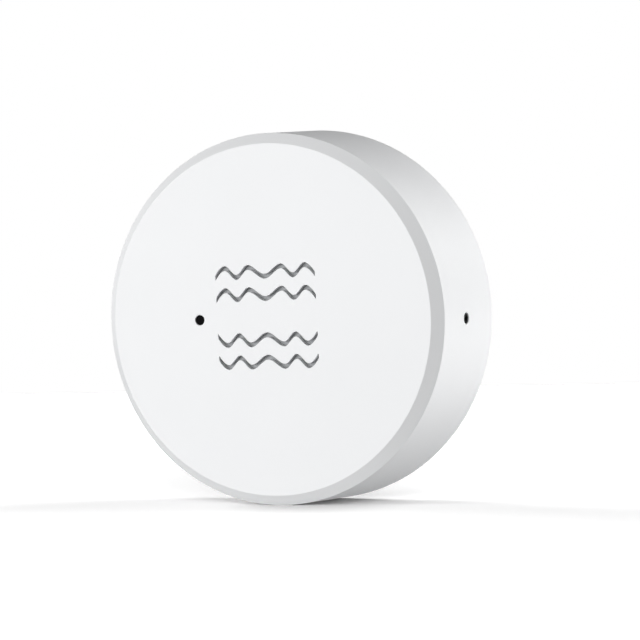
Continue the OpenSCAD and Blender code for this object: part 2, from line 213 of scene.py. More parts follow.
def wave_outline(flip, mid):
    n = 120
    xs = [-WX[4] + 2 * WX[4] * i / n for i in range(n + 1)]
    low = [(x, flip * wave_y(x) - WT / 2 + mid) for x in xs]
    top = [(x, flip * wave_y(x) + WT / 2 + mid) for x in reversed(xs)]
    pts = low + top
    # corners softened a little
    k = len(pts)
    sharp = {0, n, n + 1, k - 1}
    out = []
    for i, p in enumerate(pts):
        if i not in sharp:
            out.append(p)
            continue
        a, b, c = Vector(pts[i - 1]), Vector(pts[(i + 1) % k]), Vector(p)
        la, lb = min(0.1, (a - c).length * 0.9), min(0.1, (b - c).length * 0.9)
        q0, q1 = c + (a - c).normalized() * la, c + (b - c).normalized() * lb
        for j in range(4):
            t = j / 3
            out.append(tuple(q0 * (1 - t) ** 2 + c * 2 * t * (1 - t) + q1 * t * t))
    return out


def outward(pts):
    """Outward unit normal at each point of a counter-clockwise outline."""
    k, out = len(pts), []
    for i in range(k):
        a, b = Vector(pts[i - 1]), Vector(pts[(i + 1) % k])
        d = (b - a).normalized()
        out.append((d.y, -d.x))
    return out


def inside(poly, x, y):
    hit, k = False, len(poly)
    j = k - 1
    for i in range(k):
        xi, yi = poly[i]
        xj, yj = poly[j]
        if (yi > y) != (yj > y) and x < (xj - xi) * (y - yi) / (yj - yi) + xi:
            hit = not hit
        j = i
    return hit


def circle(cx, cy, r, n):
    return [(cx + r * math.cos(2 * math.pi * i / n), cy + r * math.sin(2 * math.pi * i / n)) for i in range(n)]


# ------------------------------------------------------------------ materials
def new_mat(name):
    m = bpy.data.materials.new(name)
    m.use_nodes = True
    nt = m.node_tree
    nt.nodes.clear()
    out = nt.nodes.new("ShaderNodeOutputMaterial")
    b = nt.nodes.new("ShaderNodeBsdfPrincipled")
    nt.links.new(b.outputs["BSDF"], out.inputs["Surface"])
    tc = nt.nodes.new("ShaderNodeTexCoord")
    return m, nt, b, tc.outputs["Object"]


def noise(nt, vec, scale, detail=3.0, rough=0.55, stretch=None):
    if stretch is not None:
        mp = nt.nodes.new("ShaderNodeMapping")
        mp.inputs["Scale"].default_value = stretch
        nt.links.new(vec, mp.inputs["Vector"])
        vec = mp.outputs["Vector"]
    t = nt.nodes.new("ShaderNodeTexNoise")
    t.inputs["Scale"].default_value = scale
    t.inputs["Detail"].default_value = detail
    t.inputs["Roughness"].default_value = rough
    nt.links.new(vec, t.inputs["Vector"])
    return t.outputs["Fac"]


def remap(nt, val, lo, hi, a=0.0, b=1.0):
    m = nt.nodes.new("ShaderNodeMapRange")
    m.inputs["From Min"].default_value = a
    m.inputs["From Max"].default_value = b
    m.inputs["To Min"].default_value = lo
    m.inputs["To Max"].default_value = hi
    nt.links.new(val, m.inputs["Value"])
    return m.outputs["Result"]


def mix(nt, fac, a, b):
    m = nt.nodes.new("ShaderNodeMix")
    m.data_type = "RGBA"
    if isinstance(fac, (int, float)):
        m.inputs["Factor"].default_value = fac
    else:
        nt.links.new(fac, m.inputs["Factor"])
    for sock, v in ((m.inputs[6], a), (m.inputs[7], b)):
        if isinstance(v, tuple):
            sock.default_value = (*v, 1)
        else:
            nt.links.new(v, sock)
    return m.outputs[2]


def bump(nt, height, strength, distance, base=None):
    b = nt.nodes.new("ShaderNodeBump")
    b.inputs["Strength"].default_value = strength
    b.inputs["Distance"].default_value = distance
    nt.links.new(height, b.inputs["Height"])
    if base is not None:
        nt.links.new(base, b.inputs["Normal"])
    return b.outputs["Normal"]


def edge(nt, lo=0.52, hi=0.62):
    g = nt.nodes.new("ShaderNodeNewGeometry")
    return remap(nt, g.outputs["Pointiness"], 0.0, 1.0, lo, hi)


def soft_edges(nt, radius=0.00012):
    """Rounds the look of moulded or tumbled edges by a tenth of a millimetre."""
    n = nt.nodes.new("ShaderNodeBevel")
    n.samples = 6
    n.inputs["Radius"].default_value = radius
    return n.outputs["Normal"]


def paint_gap_shade(nt, colour, gap_shade_colour, reach, lo, hi):
    """Paints shade into narrow gaps: the colour darkens where ambient occlusion finds geometry close by."""
    ao = nt.nodes.new("ShaderNodeAmbientOcclusion")
    ao.samples = 8
    ao.inputs["Distance"].default_value = reach
    return mix(nt, remap(nt, ao.outputs["AO"], 0, 1, lo, hi), gap_shade_colour, colour)


def plastic(name, col, rough=0.42, grain=0.12, grain_d=0.00002, vary=0.012, gloss=0.5, wear=0.04, grain_scale=5200):
    """Moulded plastic: fine spark-eroded grain, faint flow mottling, soft edge polish; on the white case, painted
    shade darkens narrow gaps.
    """
    m, nt, b, vec = new_mat(name)
    slow = noise(nt, vec, 55, 2)
    fine = noise(nt, vec, grain_scale, 4, 0.6)
    dark = tuple(max(0, c - vary) for c in col)
    light = tuple(min(1, c + vary * 0.6) for c in col)
    body = mix(nt, remap(nt, slow, 0, 1, 0.35, 0.65), dark, light)
    worn = tuple(min(1, c + wear) for c in col)
    colour = mix(nt, edge(nt), body, worn)
    # painted shade: on the white case the slot walls and other narrow gaps get a darker grey base colour
    if name.startswith("case_white"):
        colour = paint_gap_shade(nt, colour, (0.76, 0.768, 0.776), 0.0011, 0.35, 0.8)
    nt.links.new(colour, b.inputs["Base Color"])
    nt.links.new(remap(nt, fine, rough - 0.05, rough + 0.06, 0.3, 0.7), b.inputs["Roughness"])
    b.inputs["Specular IOR Level"].default_value = gloss
    big = noise(nt, vec, 900, 2)
    base = None if name.startswith("case_white") else soft_edges(nt)
    nt.links.new(bump(nt, fine, grain, grain_d, bump(nt, big, grain * 0.4, grain_d, base)), b.inputs["Normal"])
    return m


def metal(name, col, rough=0.3, brush=(1, 1, 1), scale=2500, dull=None, strength=0.12):
    """Plated or drawn metal: directional scratches and smudges of duller tone."""
    m, nt, b, vec = new_mat(name)
    lines = noise(nt, vec, scale, 4, 0.6, brush)
    smudge = noise(nt, vec, 160, 3)
    dull = dull or tuple(c * 0.8 for c in col)
    nt.links.new(mix(nt, remap(nt, smudge, 0, 1, 0.35, 0.65), dull, col), b.inputs["Base Color"])
    b.inputs["Metallic"].default_value = 1.0
    nt.links.new(remap(nt, lines, rough - 0.08, rough + 0.12, 0.3, 0.7), b.inputs["Roughness"])
    nt.links.new(bump(nt, lines, strength, 0.00002, soft_edges(nt, 0.00006)), b.inputs["Normal"])
    return m


def rubber(name, col, rough=0.75, cell=1500, strength=0.5):
    """Foam or rubber: small closed cells and a powdery sheen."""
    m, nt, b, vec = new_mat(name)
    v = nt.nodes.new("ShaderNodeTexVoronoi")
    v.inputs["Scale"].default_value = cell
    nt.links.new(vec, v.inputs["Vector"])
    n = noise(nt, vec, cell * 0.5, 3)
    dark = tuple(c * 0.72 for c in col)
    nt.links.new(mix(nt, remap(nt, v.outputs["Distance"], 0, 1, 0.0, 0.9), dark, col), b.inputs["Base Color"])
    nt.links.new(remap(nt, n, rough - 0.1, min(1, rough + 0.12), 0.3, 0.7), b.inputs["Roughness"])
    b.inputs["Specular IOR Level"].default_value = 0.3
    nt.links.new(bump(nt, v.outputs["Distance"], strength, 0.00006), b.inputs["Normal"])
    return m


def board(name, mask, copper, scale=520):
    """Solder mask over traces: blocky raised tracks, vias and a resin sheen."""
    m, nt, b, vec = new_mat(name)
    br = nt.nodes.new("ShaderNodeTexBrick")
    br.inputs["Scale"].default_value = scale
    br.inputs["Mortar Size"].default_value = 0.03
    br.inputs["Color1"].default_value = (0, 0, 0, 1)
    br.inputs["Color2"].default_value = (0.6, 0.6, 0.6, 1)
    br.inputs["Mortar"].default_value = (1, 1, 1, 1)
    sw = nt.nodes.new("ShaderNodeMapping")
    sw.inputs["Rotation"].default_value = (math.pi / 2, 0, 0)
    nt.links.new(vec, sw.inputs["Vector"])
    nt.links.new(sw.outputs["Vector"], br.inputs["Vector"])
    v = nt.nodes.new("ShaderNodeTexVoronoi")
    v.distance = "CHEBYCHEV"
    v.inputs["Scale"].default_value = scale * 0.8
    nt.links.new(sw.outputs["Vector"], v.inputs["Vector"])
    track = remap(nt, v.outputs["Distance"], 0, 1, 0.28, 0.34)
    light = tuple(min(1, c * 1.7 + 0.02) for c in mask)
    body = mix(nt, track, mask, light)
    pads = remap(nt, v.outputs["Distance"], 1, 0, 0.06, 0.09)
    nt.links.new(mix(nt, pads, body, copper), b.inputs["Base Color"])
    fine = noise(nt, vec, 3000, 2)
    nt.links.new(remap(nt, fine, 0.24, 0.38, 0.3, 0.7), b.inputs["Roughness"])
    b.inputs["Coat Weight"].default_value = 0.35
    b.inputs["Coat Roughness"].default_value = 0.15
    nt.links.new(bump(nt, track, 0.5, 0.00004, bump(nt, br.outputs["Fac"], 0.1, 0.00002)), b.inputs["Normal"])
    return m


def chip(name, col):
    """Transfer-moulded epoxy: gritty and matt."""
    m, nt, b, vec = new_mat(name)
    n = noise(nt, vec, 7000, 4, 0.7)
    nt.links.new(mix(nt, n, col, tuple(c * 1.6 + 0.01 for c in col)), b.inputs["Base Color"])
    nt.links.new(remap(nt, n, 0.5, 0.75, 0.3, 0.7), b.inputs["Roughness"])
    nt.links.new(bump(nt, n, 0.3, 0.00002), b.inputs["Normal"])
    return m


MAT = {
    "case_white": plastic("case_white_moulded", (0.885, 0.893, 0.903), 0.46, 0.10, 0.000012, 0.006, 0.35, 0.0),
    "plate_white": plastic("plate_white_moulded", (0.80, 0.805, 0.81), 0.5, 0.2, 0.00002, 0.015, 0.4, 0.03),
    "tray_natural": plastic("tray_moulded", (0.66, 0.675, 0.69), 0.5, 0.22, 0.00002, 0.02, 0.4, 0.05),
    "pad_foam": rubber("pad_foam_cells", (0.42, 0.44, 0.47), 0.85, 2400, 0.6),
    "keeper_steel": metal("keeper_zinc", (0.62, 0.63, 0.65), 0.34, (1, 1, 6), 1500),
    "magnet_nickel": metal("magnet_plating", (0.72, 0.70, 0.67), 0.16, (1, 1, 1), 900, strength=0.05),
    "foam_dark": rubber("foam_gasket", (0.05, 0.05, 0.055), 0.9, 2600, 0.6),
    "sounder_black": chip("sounder_resin", (0.02, 0.02, 0.022)),
    "bender_brass": metal("brass_disc", (0.78, 0.58, 0.27), 0.26, (1, 1, 1), 2200),
    "ceramic_ivory": plastic("fired_ceramic", (0.72, 0.66, 0.52), 0.6, 0.3, 0.00002, 0.04, 0.3, 0.02),
    "pipe_smoke": plastic("smoked_guide", (0.0025, 0.0025, 0.003), 0.55, 0.05, 0.00001, 0.001, 0.03, 0.001),
    "led_white": plastic("lamp_chip", (0.80, 0.77, 0.55), 0.3, 0.05, 0.00001, 0.02, 0.5, 0.02),
    "board_green": board("solder_mask_green", (0.010, 0.085, 0.038), (0.72, 0.52, 0.25)),
    "radio_green": board("solder_mask_blue", (0.006, 0.045, 0.075), (0.75, 0.55, 0.28), 900),
    "shield_tin": metal("tin_plate", (0.70, 0.70, 0.69), 0.28, (1, 1, 7), 1800),
    "copper_trace": metal("gold_flash", (0.85, 0.60, 0.27), 0.25, (1, 1, 1), 3000),
    "chip_black": chip("chip_epoxy", (0.016, 0.016, 0.018)),
    "sensor_chip": chip("sensor_epoxy", (0.022, 0.022, 0.026)),
    "crystal_can": metal("crystal_lid", (0.74, 0.73, 0.68), 0.22, (6, 1, 1), 1700),
    "capacitor_can": metal("capacitor_can", (0.78, 0.78, 0.79), 0.24, (1, 6, 1), 1300),
    "contact_nickel": metal("nickel_strip", (0.76, 0.73, 0.66), 0.24, (1, 5, 1), 1900),
    "screw_zinc": metal("zinc_screw", (0.70, 0.71, 0.74), 0.3, (1, 1, 1), 2600),
    "seal_rubber": rubber("seal_rubber", (0.03, 0.03, 0.033), 0.5, 3200, 0.15),
    "switch_black": plastic("switch_housing", (0.022, 0.022, 0.024), 0.45, 0.2, 0.00002, 0.006, 0.45, 0.03),
    "stem_black": plastic("switch_stem", (0.014, 0.014, 0.015), 0.35, 0.1, 0.00001, 0.004, 0.5, 0.02),
    "button_black": plastic("button_black", (0.0025, 0.0025, 0.003), 0.6, 0.1, 0.00001, 0.001, 0.04, 0.001),
    "pin_white": plastic("pin_white", (0.78, 0.785, 0.79), 0.38, 0.12, 0.00002, 0.01, 0.45, 0.03),
    "stem_white": plastic("stem_white", (0.74, 0.745, 0.75), 0.38, 0.12, 0.00002, 0.01, 0.45, 0.03),
    "spring_steel": metal("music_wire", (0.60, 0.61, 0.63), 0.2, (1, 5, 1), 2600),
}


def passive_mat():
    """Chip parts: ceramic bodies with colours found from the parts' own places, and a faint patchy tan tone."""
    m, nt, b, vec = new_mat("chip_parts")
    v = nt.nodes.new("ShaderNodeTexVoronoi")
    v.feature = "F1"
    v.inputs["Scale"].default_value = 320
    nt.links.new(vec, v.inputs["Vector"])
    n = noise(nt, vec, 4000, 3)
    body = mix(nt, remap(nt, v.outputs["Color"], 0, 1, 0.3, 0.7), (0.16, 0.10, 0.06), (0.03, 0.03, 0.032))
    nt.links.new(mix(nt, remap(nt, n, 0.0, 0.25, 0.3, 0.7), body, (0.4, 0.34, 0.28)), b.inputs["Base Color"])
    nt.links.new(remap(nt, n, 0.3, 0.55, 0.3, 0.7), b.inputs["Roughness"])
    nt.links.new(bump(nt, n, 0.3, 0.00002), b.inputs["Normal"])
    return m


def cell_mat(name, axis_x, flip):
    """A plain printed sleeve over a nickel can: bands by place along the cell."""
    m, nt, b, vec = new_mat(name)
    sep = nt.nodes.new("ShaderNodeSeparateXYZ")
    nt.links.new(vec, sep.inputs[0])

    def math_node(op, a, c=None):
        n = nt.nodes.new("ShaderNodeMath")
        n.operation = op
        for sock, v in ((n.inputs[0], a), (n.inputs[1], c)):
            if v is None:
                continue
            if isinstance(v, (int, float)):
                sock.default_value = v
            else:
                nt.links.new(v, sock)
        return n.outputs[0]

    along = math_node("MULTIPLY", sep.outputs["Z"], -1.0 if flip else 1.0)
    x = math_node("SUBTRACT", sep.outputs["X"], axis_x * MM)
    y = math_node("ADD", sep.outputs["Y"], 8.6 * MM)
    r = math_node("SQRT", math_node("ADD", math_node("MULTIPLY", x, x), math_node("MULTIPLY", y, y)))
    sleeve = math_node("GREATER_THAN", r, 4.75 * MM)
    band = remap(nt, along, 0, 1, 0.0105, 0.0107)
    stripe = math_node("MULTIPLY", remap(nt, along, 0, 1, 0.0088, 0.0089), remap(nt, along, 1, 0, 0.0098, 0.0099))
    n = noise(nt, vec, 140, 3)
    body = mix(nt, n, (0.018, 0.09, 0.115), (0.03, 0.125, 0.15))
    body = mix(nt, band, body, (0.05, 0.052, 0.055))
    body = mix(nt, stripe, body, (0.62, 0.64, 0.62))
    col = mix(nt, sleeve, (0.74, 0.73, 0.70), body)
    nt.links.new(col, b.inputs["Base Color"])
    nt.links.new(math_node("SUBTRACT", 1.0, sleeve), b.inputs["Metallic"])
    fine = noise(nt, vec, 2400, 3, 0.6, (1, 1, 0.2))
    nt.links.new(remap(nt, fine, 0.22, 0.36, 0.3, 0.7), b.inputs["Roughness"])
    b.inputs["Coat Weight"].default_value = 0.4
    b.inputs["Coat Roughness"].default_value = 0.12
    nt.links.new(bump(nt, fine, 0.12, 0.00003), b.inputs["Normal"])
    return m


def cloth_mat():
    """Fine woven acoustic cloth: crossed threads in colour, bump and gaps, with painted shade where the slot walls
    lie close above it.
    """
    m, nt, b, vec = new_mat("acoustic_cloth")
    waves = []
    for direction in ("X", "Z"):
        w = nt.nodes.new("ShaderNodeTexWave")
        w.bands_direction = direction
        w.inputs["Scale"].default_value = 1500
        w.inputs["Distortion"].default_value = 0.4
        nt.links.new(vec, w.inputs["Vector"])
        waves.append(w.outputs["Fac"])
    mx = nt.nodes.new("ShaderNodeMath")
    mx.operation = "MAXIMUM"
    nt.links.new(waves[0], mx.inputs[0])
    nt.links.new(waves[1], mx.inputs[1])
    n = noise(nt, vec, 700, 2)
    body = mix(nt, mx.outputs[0], (0.295, 0.303, 0.312), (0.50, 0.509, 0.52))
    colour = mix(nt, remap(nt, n, 0.0, 0.2, 0.3, 0.7), body, (0.36, 0.365, 0.375))
    # painted shade: the cloth turns a darker grey where the case's slot walls lie close above it
    nt.links.new(paint_gap_shade(nt, colour, (0.29, 0.296, 0.305), 0.0007, 0.35, 0.75), b.inputs["Base Color"])
    b.inputs["Roughness"].default_value = 0.9
    b.inputs["Specular IOR Level"].default_value = 0.2
    b.inputs["Sheen Weight"].default_value = 0.1
    nt.links.new(bump(nt, mx.outputs[0], 0.6, 0.00003), b.inputs["Normal"])
    return m


MAT["passive_tan"] = passive_mat()
MAT["cell_wrap_left"] = cell_mat("cell_sleeve_left", -5.5, False)
MAT["cell_wrap_right"] = cell_mat("cell_sleeve_right", 5.5, True)
MAT["mesh_cloth"] = cloth_mat()

slot_of = {s["node"]: s["material_slot"] for s in frame["record"]["subparts"]}
for node, ob in frame["nodes"].items():
    want = MAT[slot_of[node]]
    if not ob.material_slots:
        ob.data.materials.append(want)
    for ms in ob.material_slots:
        ms.material = want


# ------------------------------------------------------------------ the case
def build_case():
    B = Build()
    N = 288
    step = 2 * math.pi / N
    side_slope = (R_REAR - R_FRONT) / (FACE - CH_D - (RIM + 0.35))
    prof = [
        (R_FRONT - CH_W - 1.2, FACE, 0, 0),
        (R_FRONT - CH_W, FACE, 0.22, 6),
        (R_FRONT, FACE - CH_D, 0.22, 6),
        (R_REAR, RIM + 0.1, 0.3, 6),
        (R_REAR - 0.5, RIM, 0.0, 0),
        (bore_at(RIM) + 0.35, RIM, 0.0, 0),
        (bore_at(RIM + 0.35), RIM + 0.35, 0.0, 0),
        (BORE_R, FRONT_IN, 0.6, 6),
        (BORE_R - 0.62, FRONT_IN, 0, 0),
    ]
    # rounded corners at the rear rim and its inner edge
    prof[4] = (R_REAR - 0.35, RIM, 0.12, 3)
    prof[5] = (bore_at(RIM) + 0.35, RIM, 0.12, 3)
    prof[6] = (bore_at(RIM + 0.35), RIM + 0.35, 0.12, 3)
    prof[3] = (R_REAR, RIM + 0.35, 0.25, 5)
    line = rounded(prof)
    # extra rings on the long straight runs, with two exact rings round each hole window
    dense = []
    win_out = (HOLE_Z - 2.0, HOLE_Z + 2.0)
    win_in = (HOLE_Z - 2.9, HOLE_Z + 2.9)
    for i, p in enumerate(line):
        if i:
            q = line[i - 1]
            if abs(p[1] - q[1]) > 8:
                cuts = sorted(
                    {round(z, 4) for z in (win_out if p[0] > 29.6 or q[0] > 29.9 else win_in)}
                    | {round(min(p[1], q[1]) + abs(p[1] - q[1]) * k / 14, 4) for k in range(1, 14)},
                    reverse=p[1] < q[1],
                )
                for z in cuts:
                    t = (z - q[1]) / (p[1] - q[1])
                    if 0.004 < t < 0.996:
                        dense.append((q[0] + (p[0] - q[0]) * t, z, p[2] if t > 1 else q[2] + (p[2] - q[2]) * t, q[3] + (p[3] - q[3]) * t))
        dense.append(p)
    # the outward direction is to the left of travel, seen with r across and z up
    rings = []
    for r, z, nr, nz in dense:
        rings.append([B.add((r * math.cos(k * step), r * math.sin(k * step), z), (nr * math.cos(k * step), nr * math.sin(k * step), nz)) for k in range(N)])

    def window(z0, z1, k0, k1, outer):
        """Rings and columns inside a hole window."""
        rr = [i for i, d in enumerate(dense) if z0 - 1e-3 <= d[1] <= z1 + 1e-3 and (d[0] > 29.6) == outer and abs(d[2]) > 0.9]
        return rr, k0, k1

    def columns(y0, half, radius):
        k0 = math.floor(math.asin((y0 - half) / radius) / step)
        k1 = math.ceil(math.asin((y0 + half) / radius) / step)
        return k0, k1

    wins = []
    ko = columns(HOLE_Y, 2.0, 30.6)
    ki = columns(HOLE_Y, 2.9, 28.9)
    ro, _, _ = window(*win_out, *ko, True)
    ri, _, _ = window(*win_in, *ki, False)
    skip = set()
    for rr, (k0, k1) in ((ro, ko), (ri, ki)):
        a, b = min(rr), max(rr)
        for i in range(a, b):
            for k in range(k0, k1):
                skip.add((i, k % N))
        wins.append((a, b, k0, k1))
    for i in range(len(rings) - 1):
        for k in range(N):
            if (i, k) in skip:
                continue
            j = (k + 1) % N
            B.face([rings[i][k], rings[i + 1][k], rings[i + 1][j], rings[i][j]])

    yz = lambda q: (30 * math.atan2(B.v[q][1], B.v[q][0]), B.v[q][2])
    M = 56

    def ring_at(radius, xf, nf):
        out = []
        for i in range(M):
            an = 2 * math.pi * i / M
            y, z = HOLE_Y + radius * math.cos(an), HOLE_Z + radius * math.sin(an)
            x = xf(y, z)
            out.append(B.add((x, y, z), nf(x, y, z, an)))
        return out

    def cone_x(r_of):
        return lambda y, z: math.sqrt(max(0, r_of(z) ** 2 - y * y))

    def wall_n(sign, tilt):
        return lambda x, y, z, an: (sign * x, sign * y, sign * tilt * math.hypot(x, y))

    r_out = lambda z: R_FRONT + side_slope * (FACE - CH_D - z)
    r_in = bore_at
    hole_n = lambda x, y, z, an: (0, -math.cos(an), -math.sin(an))
    loops = {}
    for which, (a, b, k0, k1), rad, rf, sign in (("out", wins[0], HOLE_R + 0.12, r_out, 1), ("in", wins[1], 2.0, r_in, -1)):
        bottom = [rings[a][k % N] for k in range(k0, k1 + 1)]
        right = [rings[i][k1 % N] for i in range(a + 1, b + 1)]
        top = [rings[b][k % N] for k in range(k1 - 1, k0 - 1, -1)]
        left = [rings[i][k0 % N] for i in range(b - 1, a, -1)]
        border = bottom + right + top + left
        inner = [rings[i][k % N] for i in range(a + 1, b) for k in range(k0 + 1, k1)]
        inner = [q for q in inner if math.hypot(B.v[q][1] - HOLE_Y, B.v[q][2] - HOLE_Z) > rad + 0.28]
        hole = ring_at(rad, cone_x(rf), wall_n(sign, side_slope if sign > 0 else DRAFT))
        bp = [yz(q) for q in border]
        hp = [yz(q) for q in hole]
        B.region([border, hole], yz, 1, lambda x, y, bp=bp, hp=hp: inside(bp, x, y) and not inside(hp, x, y), inner)
        loops[which] = hole
    # softened mouth of the hole, its bore, and the guide boss inside
    prev = loops["out"]
    for j in range(1, 4):
        an_r = math.pi / 2 * j / 3
        cut = 0.12 * (1 - math.sin(an_r))
        drop = 0.12 * (1 - math.cos(an_r))
        ring = ring_at(HOLE_R + cut, lambda y, z, d=drop: cone_x(r_out)(y, z) - d,
                       lambda x, y, z, an, t=an_r: (math.cos(t), -math.sin(t) * math.cos(an), -math.sin(t) * math.sin(an)))
        B.strip(prev, ring)
        prev = ring
    boss_x = bore_at(HOLE_Z) - 0.3
    end = ring_at(HOLE_R, lambda y, z: boss_x, hole_n)
    B.strip(prev, end)
    end_b = ring_at(HOLE_R, lambda y, z: boss_x, lambda *a: (-1, 0, 0))
    rim_b = ring_at(2.0, lambda y, z: boss_x, lambda *a: (-1, 0, 0))
    B.strip(end_b, rim_b)
    rim_c = ring_at(2.0, lambda y, z: boss_x, lambda x, y, z, an: (0, math.cos(an), math.sin(an)))
    B.strip(rim_c, loops["in"])

    # ---- front face with its slots
    xy = lambda q: (B.v[q][0], B.v[q][1])
    up = (0, 0, 1)
    slots = [wave_outline(1, RISE + 7.27), wave_outline(1, RISE + 3.68), wave_outline(-1, RISE - 3.68), wave_outline(-1, RISE - 7.27)]
    face_loops, polys, floor_loops = [rings[0]], [], []
    R = 0.09
    holes = [(s, MESH_Z, R) for s in slots] + [(circle(*LIGHT, LIGHT_R, 48), FRONT_IN, 0.1)]
    ends = []
    for pts, bottom, rf in holes:
        nrm = outward(pts)
        prev = None
        for j in range(0, 5):
            t = math.pi / 2 * j / 4
            off, z = rf * (1 - math.sin(t)), FACE - rf * (1 - math.cos(t))
            ring = [B.add((p[0] + n[0] * off, p[1] + n[1] * off, z), (-n[0] * math.sin(t), -n[1] * math.sin(t), math.cos(t))) for p, n in zip(pts, nrm)]
            if prev is None:
                face_loops.append(ring)
                polys.append([(B.v[q][0], B.v[q][1]) for q in ring])
            else:
                B.strip(prev, ring)
            prev = ring
        last = [B.add((p[0], p[1], bottom), (-n[0], -n[1], 0)) for p, n in zip(pts, nrm)]
        B.strip(prev, last)
        flat = [B.add((p[0], p[1], bottom), (0, 0, -1)) for p in pts]
        ends.append((last, flat, pts))
    r_face = dense[0][0]
    B.region(face_loops, xy, 1, lambda x, y: math.hypot(x, y) < r_face and not any(inside(p, x, y) for p in polys))

    # ---- inside of the front wall: pocket, light guide and four posts
    down = (0, 0, -1)
    pocket = [(-10.1, RISE - 8.9), (10.1, RISE - 8.9), (10.1, RISE + 8.9), (-10.1, RISE + 8.9)]
    pk_top = [B.add((*p, MESH_Z), down) for p in pocket]
    B.region([pk_top] + [e[1] for e in ends[:4]], xy, -1,
             lambda x, y: inside(pocket, x, y) and not any(inside(e[2], x, y) for e in ends[:4]))
    for i in range(4):
        a, b = pocket[i], pocket[(i + 1) % 4]
        d = Vector(b) - Vector(a)
        n = (d.y, -d.x, 0)
        n = (-n[0], -n[1], 0)
        q = [B.add((*a, MESH_Z), n), B.add((*b, MESH_Z), n), B.add((*b, FRONT_IN), n), B.add((*a, FRONT_IN), n)]
        B.face(q)
    pk_low = [B.add((*p, FRONT_IN), down) for p in pocket]
    inner_edge = rings[-1]
    r_inner = dense[-1][0]
    inner_loops, inner_polys = [inner_edge, pk_low], [pocket]

    def tube(cx, cy, r, z_end, bore, depth_to, tip):
        """Boss under the front wall: outer wall, end ring and bore."""
        k = 40
        pts = circle(cx, cy, r, k)
        nn = [((p[0] - cx) / r, (p[1] - cy) / r, 0) for p in pts]
        foot = [B.add((*p, FRONT_IN), down) for p in pts]
        inner_loops.append(foot)
        inner_polys.append(pts)
        a = [B.add((*p, FRONT_IN), n) for p, n in zip(pts, nn)]
        b = [B.add((*p, z_end + 0.12), n) for p, n in zip(pts, nn)]
        B.strip(a, b)
        small = circle(cx, cy, r - 0.12, k)
        c = [B.add((*p, z_end), down) for p in small]
        b2 = [B.add((*p, z_end + 0.12), (n[0], n[1], -1)) for p, n in zip(pts, nn)]
        c2 = [B.add((*p, z_end), (n[0], n[1], -1)) for p, n in zip(small, nn)]
        B.strip(b2, c2)
        bp = circle(cx, cy, bore, k)
        d = [B.add((*p, z_end), down) for p in bp]
        B.strip(c, d)
        e = [B.add((*p, z_end), (-n[0], -n[1], 0)) for p, n in zip(bp, nn)]
        f = [B.add((*p, depth_to), (-n[0], -n[1], 0)) for p, n in zip(bp, nn)]
        B.strip(e, f)
        g = [B.add((*p, depth_to), down) for p in bp]
        if tip is None:
            B.face(g)
        return g

    for sx in (-1, 1):
        for sy in (-1, 1):
            tube(sx * 18, sy * 17.5, 2.6, BOARD_FRONT, 0.95, BOARD_FRONT + 2.49, None)
    seat_z = FRONT_IN - 0.2
    g = tube(*LIGHT, 2.0, 17.2, 1.5, seat_z, "open")
    small = [B.add((*p, seat_z), down) for p in circle(*LIGHT, LIGHT_R, 48)]
    ring_pts = circle(*LIGHT, LIGHT_R, 48)
    big_pts = circle(*LIGHT, 1.5, 40)
    B.region([g, small], xy, -1, lambda x, y: inside(big_pts, x, y) and not inside(ring_pts, x, y))
    # the light's hole runs on from the wall's inner face to the seat
    a = [B.add((*p, FRONT_IN), ((LIGHT[0] - p[0]), (LIGHT[1] - p[1]), 0)) for p in ring_pts]
    b = [B.add((*p, seat_z), ((LIGHT[0] - p[0]), (LIGHT[1] - p[1]), 0)) for p in ring_pts]
    B.strip(a, b)
    B.region(inner_loops, xy, -1, lambda x, y: math.hypot(x, y) < r_inner and not any(inside(p, x, y) for p in inner_polys))
    return B


case_build = build_case()


def finish_case(B):
    """Makes the mesh; corners keep split normals because each side has its own vertices."""
    me = bpy.data.meshes.new("case_shell")
    me.from_pydata([row(p) for p in B.v], [], B.f)
    me.update()
    # weld by place, keeping each corner's own normal
    corner = []
    for poly in me.polygons:
        for vi in poly.vertices:
            corner.append(row_dir(B.n[vi]))
    bm = bmesh.new()
    bm.from_mesh(me)
    bm.to_mesh(me)
    bm.free()
    # faces are turned to agree with the normals they were given
    flip = []
    k = 0
    for poly in me.polygons:
        s = Vector((0, 0, 0))
        for _ in poly.vertices:
            s += corner[k]
            k += 1
        if poly.normal.dot(s) < 0:
            flip.append(poly.index)
    faces = [list(p.vertices) for p in me.polygons]
    for i in flip:
        faces[i] = faces[i][::-1]
    verts = [v.co.copy() for v in me.vertices]
    key, index, remap_v, merged = {}, 0, [], []
    for v in verts:
        q = (round(v.x * 1e7), round(v.y * 1e7), round(v.z * 1e7))
        if q not in key:
            key[q] = len(merged)
            merged.append(v)
        remap_v.append(key[q])
    out_faces, out_norm = [], []
    for f in faces:
        g, ns = [], []
        for vi in f:
            t = remap_v[vi]
            if g and (t == g[-1] or t == g[0]):
                continue
            g.append(t)
            ns.append(row_dir(B.n[vi]))
        if len(g) > 2:
            out_faces.append(g)
            out_norm += ns
    fin = bpy.data.meshes.new("case_shell")
    fin.from_pydata(merged, [], out_faces)
    fin.update()
    for p in fin.polygons:
        p.use_smooth = True
    fin.normals_split_custom_set(out_norm)
    fin.materials.append(MAT["case_white"])
    bpy.data.meshes.remove(me)
    o = bpy.data.objects.new("case_shell", fin)
    scene.collection.objects.link(o)
    bm = bmesh.new()
    bm.from_mesh(fin)
    bad = [e for e in bm.edges if not e.is_manifold]
    print("case_shell verts", len(fin.vertices), "faces", len(fin.polygons), "open edges", len(bad), "volume mm3", round(bm.calc_volume() * 1e9, 1))
    for e in bad[:6]:
        print("   open at", [tuple(round(c / MM, 3) for c in v.co) for v in e.verts])
    bm.free()
    return o


case = finish_case(case_build)
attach(case, "sensor")
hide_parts("front_cover")

